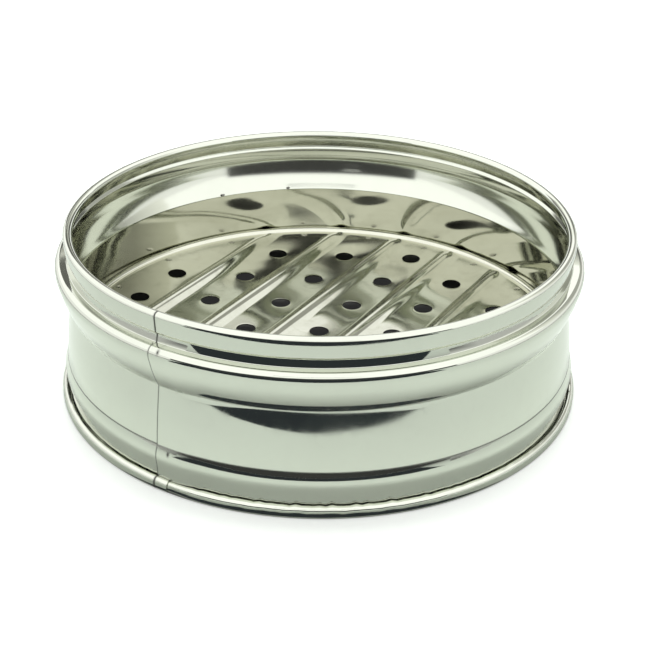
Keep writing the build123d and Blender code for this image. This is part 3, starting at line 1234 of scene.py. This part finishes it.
@dataclass
class Studio:
    """White light tent in a dim room, open to it on the camera's side; sizes in metres."""

    floor_half: float = 3.0
    floor_paint: tuple[tuple[float, ...], tuple[float, ...]] = ((0.78, 0.85, 0.79), (0.82, 0.88, 0.82))
    floor_cloud: float = 3.0
    floor_glow: float = 0.60
    floor_glow_span: tuple[float, float] = (0.25, 0.8)
    floor_mirrored: float = 0.25
    # Floor below the object: painted dark out to this radius as painted shade, keeping small shares of paint
    # and glow.
    shade_r: float = 0.1038
    shade_soft: float = 0.001
    shade_share: float = 0.04
    shade_paint: tuple[float, float, float] = (0.10, 0.10, 0.09)
    room_high: float = 2.6
    dark_level: float = 0.06
    half_width: float = 0.30
    front: float = -0.262
    back: float = 0.45
    ceiling: float = 0.50
    wall_glow: float = 1.25
    front_fade: float = 0.09
    front_shares: tuple[float, float] = (0.06, 0.55)
    foot_fade: tuple[float, float, float] = (0.0, 0.05, 0.1)
    upper_fade: tuple[float, float, float, float] = (0.09, 0.14, 0.0, 1.25)
    panel_place: tuple[float, float] = (0.25, 0.23)
    panel_half: tuple[float, float] = (0.25, 0.11)
    panel_fade: tuple[float, float] = (0.16, 0.0)
    panel_share: float = 0.45
    panel_off: float = 0.005
    gap_low: float = 0.15
    gap_high: float = 0.272
    gap_fade: float = 0.03
    gap_share: float = 0.14
    left_off: float = 0.006
    left_above: float = 0.03
    left_half: tuple[float, float] = (0.15, 0.035)
    left_fade: tuple[float, float, float] = (-0.2, 0.0, 0.15)
    ceiling_full: float = -1.284
    ceiling_front: float = -1.466
    ceiling_half: float = 2.2
    ceiling_glow: float = 1.6
    ceiling_share: float = 0.05
    table_level: float = 0.045
    sector_steps: int = 91
    sector_up: float = 0.0006
    disc_r: float = 0.2
    disc_bulge: float = 0.0185
    table_reach: float = 2.5
    table_swing: tuple[float, float] = (-137.0, -49.0)
    contact: tuple[float, float] = (0.1043, 0.1078)
    contact_swing: tuple[float, float] = (-135.0, -48.0)
    contact_taper: float = 0.99
    keeper_low: float = 0.465
    keeper_high: float = 0.67
    keeper_half: float = 0.20
    keeper_at: float = -0.62
    window_glow: float = 0.9
    window_place: tuple[float, float] = (-0.36, -1.4)
    window_half: float = 0.011
    windows: tuple[tuple[float, float], ...] = ((0.41, 0.12), (0.36, 0.09))
    top_place: tuple[float, float, float] = (0.0, 0.15, 1.0)
    top_size: tuple[float, float] = (0.4, 0.4)
    top_power: float = 9.3
    front_place: tuple[float, float, float] = (0.0, -0.9, 0.9)
    front_size: tuple[float, float] = (1.2, 0.6)
    front_power: float = 1.84

    def floor_material(self) -> bpy.types.Material:
        """White floor: uneven diffuse paint, painted dark below the object as painted shade, with a glow that
        grows outwards.

        Returns:
            The material; its paint keeps the object's shadow.
        """
        material = bpy.data.materials.new("studio_floor")
        material.use_nodes = True
        tree = material.node_tree
        shader = tree.nodes["Principled BSDF"]
        shader.inputs["Roughness"].default_value = 0.9
        shader.inputs["Specular IOR Level"].default_value = 0.0
        shader.inputs["Emission Color"].default_value = (*WHITE, 1.0)
        place = add_node(tree, "ShaderNodeTexCoord")
        cloud = add_node(tree, "ShaderNodeTexNoise", in_Vector=place.outputs["Object"],
                         in_Scale=self.floor_cloud)
        dull, clear = self.floor_paint
        uneven = add_node(tree, "ShaderNodeMix", data_type="RGBA", in_Factor=cloud.outputs["Fac"],
                          in_A=(*dull, 1.0), in_B=(*clear, 1.0))
        length = add_node(tree, "ShaderNodeVectorMath", operation="LENGTH", in_0=place.outputs["Object"])
        # Painted shade: within shade_r the paint turns dark and the glow drops to a small share, which is
        # left as painted light seen through the holes.
        clear_of_painted_shade = add_node(tree, "ShaderNodeMapRange", in_Value=length.outputs["Value"],
                        in_From_Min=self.shade_r - self.shade_soft, in_From_Max=self.shade_r,
                        in_To_Min=self.shade_share)
        far = add_node(tree, "ShaderNodeMapRange", in_Value=length.outputs["Value"],
                       in_From_Min=self.floor_glow_span[0], in_From_Max=self.floor_glow_span[1],
                       in_To_Min=self.floor_glow)
        paint = add_node(tree, "ShaderNodeMix", data_type="RGBA", in_Factor=clear_of_painted_shade.outputs["Result"],
                         in_A=(*self.shade_paint, 1.0), in_B=uneven.outputs["Result"])
        tree.links.new(paint.outputs["Result"], shader.inputs["Base Color"])
        glow = add_node(tree, "ShaderNodeMath", operation="MULTIPLY",
                        in_0=clear_of_painted_shade.outputs["Result"], in_1=far.outputs["Result"])
        shown = add_node(tree, "ShaderNodeMath", operation="MULTIPLY",
                         in_0=background_rays(tree, self.floor_mirrored), in_1=glow.outputs["Value"])
        tree.links.new(shown.outputs["Value"], shader.inputs["Emission Strength"])
        return material

    def mirror_only(self, obj: bpy.types.Object, paint: CardPaint) -> None:
        """Paints a card and hides it from every ray but mirror-like ones, so that it never stands in a view.

        Args:
            obj: the card.
            paint: its glow.
        """
        obj.data.materials.append(paint.build())
        obj.visible_camera = False
        obj.visible_diffuse = False
        obj.visible_shadow = False

    def card(self, name: str, centre: Sequence[float], half: tuple[float, float], facing: Facing,
             paint: CardPaint) -> None:
        """Rectangular card that only mirror-like rays see; its sizes as in plain_card."""
        self.mirror_only(plain_card(name, centre, half, facing), paint)

    def lamp(self, name: str, place: Sequence[float], size: tuple[float, float], power: float) -> None:
        """Soft rectangular lamp that looks at the origin; mirrors see the cards instead of it.

        Args:
            name: name of the lamp.
            place: its position.
            size: its sides.
            power: its power in watts.
        """
        light = bpy.data.lights.new(name, "AREA")
        light.shape = "RECTANGLE"
        light.size, light.size_y = size
        light.energy = power
        holder = bpy.data.objects.new(name, light)
        holder.location = place
        holder.rotation_mode = "QUATERNION"
        holder.rotation_quaternion = (-Vector(place)).to_track_quat("-Z", "Y")
        holder.visible_glossy = False
        bpy.context.scene.collection.objects.link(holder)

    def build(self) -> None:
        """Floor, dim room, tent, dark front, lamps and world."""
        half = (self.floor_half, self.floor_half)
        floor = plain_card("studio_floor", (0.0, 0.0, 0.0), half, Facing.UP)
        floor.data.materials.append(self.floor_material())
        self.build_room()
        self.build_tent()
        self.build_tent_panels()
        self.build_dark_front()
        self.lamp("top_lamp", self.top_place, self.top_size, self.top_power)
        self.lamp("front_lamp", self.front_place, self.front_size, self.front_power)
        self.build_world()

    def build_room(self) -> None:
        """Dim room round the tent, which mirrors see through its open front: four walls and a top."""
        dim = CardPaint("dim_room", WHITE, self.dark_level)
        middle = self.room_high / 2
        walls = {"front": Facing.BACK, "back": Facing.FRONT, "left": Facing.RIGHT, "right": Facing.LEFT}
        for name, facing in walls.items():
            x, y, _ = (-self.floor_half * part for part in facing.value)
            self.card(f"room_{name}", (x, y, middle), (self.floor_half, middle), facing, dim)
        half = (self.floor_half, self.floor_half)
        self.card("room_top", (0.0, 0.0, self.room_high), half, Facing.DOWN, dim)

    def build_tent(self) -> None:
        """White tent: two sides and a back that fade towards floor and front, and a long ceiling."""
        front = Fade(Axis.Y, self.front, self.front + self.front_fade, *self.front_shares)
        fades = (front, Fade(Axis.Z, *self.foot_fade), Fade(Axis.Z, *self.upper_fade))
        white = CardPaint("tent_wall", WHITE, self.wall_glow, fades)
        depth = (self.back - self.front) / 2
        middle = (self.back + self.front) / 2
        high = self.ceiling / 2
        self.card("tent_side_left", (-self.half_width, middle, high), (depth, high), Facing.RIGHT, white)
        self.card("tent_side_right", (self.half_width, middle, high), (depth, high), Facing.LEFT, white)
        self.card("tent_back", (0.0, self.back, high), (self.half_width, high), Facing.FRONT, white)
        bright = CardPaint("tent_ceiling", WHITE, self.ceiling_glow, (
            Fade(Axis.Y, self.ceiling_front, self.ceiling_full, self.ceiling_share),))
        self.card("tent_ceiling", (0.0, (self.back + self.ceiling_front) / 2, self.ceiling),
                  (self.ceiling_half, (self.back - self.ceiling_front) / 2), Facing.DOWN, bright)

    def build_tent_panels(self) -> None:
        """Duller cloth in the tent: a panel on the right, a gap across the back and more above its left."""
        panel = CardPaint("tent_panel", WARM_WHITE, self.wall_glow, (
            Fade(Axis.Y, *self.panel_fade, self.panel_share),))
        self.card("tent_panel", (self.half_width - self.panel_off, *self.panel_place), self.panel_half,
                  Facing.LEFT, panel)
        unlit = CardPaint("tent_gap", WARM_WHITE, self.wall_glow, (
            Fade(Axis.Z, self.gap_high - self.gap_fade, self.gap_high, self.gap_share),))
        self.card("tent_gap", (0.0, self.back - self.panel_off, (self.gap_low + self.gap_high) / 2),
                  (self.half_width, (self.gap_high - self.gap_low) / 2), Facing.FRONT, unlit)
        left = CardPaint("tent_gap_left", WARM_WHITE, self.wall_glow, (Fade(Axis.X, *self.left_fade),))
        self.card("tent_gap_left",
                  (-self.left_half[0], self.back - self.left_off, self.gap_high + self.left_above),
                  self.left_half, Facing.FRONT, left)

    def build_dark_front(self) -> None:
        """Dark table before the tent, shade at the object's foot, a dark card above and two far windows."""
        dark = CardPaint("dark_front", COLD_DARK, self.table_level)
        share = np.linspace(-1.0, 1.0, self.sector_steps)
        edge = self.disc_r + self.disc_bulge * share**2
        reach = np.full_like(share, self.table_reach)
        self.mirror_only(floor_sector("dark_table", edge, reach, self.table_swing, self.sector_up), dark)
        near, far = self.contact
        foot = np.full_like(share, near)
        width = (far - near) * np.cos(share * QUARTER * self.contact_taper)
        shade = floor_sector("contact_shade", foot, near + width, self.contact_swing, self.sector_up)
        self.mirror_only(shade, dark)
        self.card("dark_keeper", (0.0, self.keeper_at, (self.keeper_low + self.keeper_high) / 2),
                  (self.keeper_half, (self.keeper_high - self.keeper_low) / 2), Facing.BACK, dark)
        window = CardPaint("far_window", WHITE, self.window_glow)
        for up, half in self.windows:
            self.card(f"far_window_{up * 100:.0f}", (*self.window_place, up), (half, self.window_half),
                      Facing.BACK, window)

    def build_world(self) -> None:
        """World that is white behind the object and dim to the light that the floor scatters."""
        world = bpy.data.worlds.new("studio_world")
        bpy.context.scene.world = world
        world.use_nodes = True
        tree = world.node_tree
        back = tree.nodes["Background"]
        back.inputs["Color"].default_value = (*WHITE, 1.0)
        level = add_node(tree, "ShaderNodeMapRange", in_Value=background_rays(tree, 1.0),
                         in_To_Min=self.dark_level, in_To_Max=1.0)
        tree.links.new(level.outputs["Result"], back.inputs["Strength"])


@dataclass(frozen=True)
class PhotoCamera:
    """Camera at the photograph's angle; lengths in metres, angles in degrees."""

    elevation: float = 27.72
    distance: float = 0.59936
    target: tuple[float, float, float] = (0.002363, 0.0, 0.02295)
    roll: float = 0.78
    focal_px: float = 1472.46
    frame_px: float = 650.0
    sensor: float = 36.0
    clip: tuple[float, float] = (0.01, 50.0)

    def build(self) -> bpy.types.Object:
        """Camera that looks at its target from the front and above, slightly rolled.

        Returns:
            The camera, set as the scene's own.
        """
        data = bpy.data.cameras.new("photo_camera")
        data.sensor_width = self.sensor
        data.lens = self.sensor * self.focal_px / self.frame_px
        data.clip_start, data.clip_end = self.clip
        tilt = math.radians(self.elevation)
        back = Vector((0.0, -math.cos(tilt), math.sin(tilt)))
        obj = bpy.data.objects.new("photo_camera", data)
        obj.location = Vector(self.target) + back * self.distance
        look = (-back).to_track_quat("-Z", "Y")
        obj.rotation_mode = "QUATERNION"
        obj.rotation_quaternion = look @ Quaternion((0.0, 0.0, 1.0), math.radians(self.roll))
        bpy.context.scene.collection.objects.link(obj)
        bpy.context.scene.camera = obj
        return obj


def main() -> None:
    """Loads the frame, builds the tier's pieces in order and sets the studio round them."""
    logging.basicConfig(level=logging.INFO, format="%(name)s: %(message)s")
    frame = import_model()
    bpy.context.scene.view_settings.view_transform = "Standard"
    PhotoCamera().build()
    haze = HandlingHaze().build()
    weld_finish = WELD_STEEL.build(haze)
    seam = LapSeam()
    band = BodyBand()
    band.build(seam, BAND_STEEL.build(haze))
    PlateRing().build(RING_STEEL.build(haze))
    SteamPlate().build(PLATE_STEEL.build(haze))
    tacks = TackPlaces()
    tacks.ring().build(weld_finish)
    tacks.lap(seam, band).build(weld_finish)
    dress_spot_welds(frame["nodes"]["plate_spot_welds"], weld_finish)
    Studio().build()


if __name__ == "__main__":
    main()
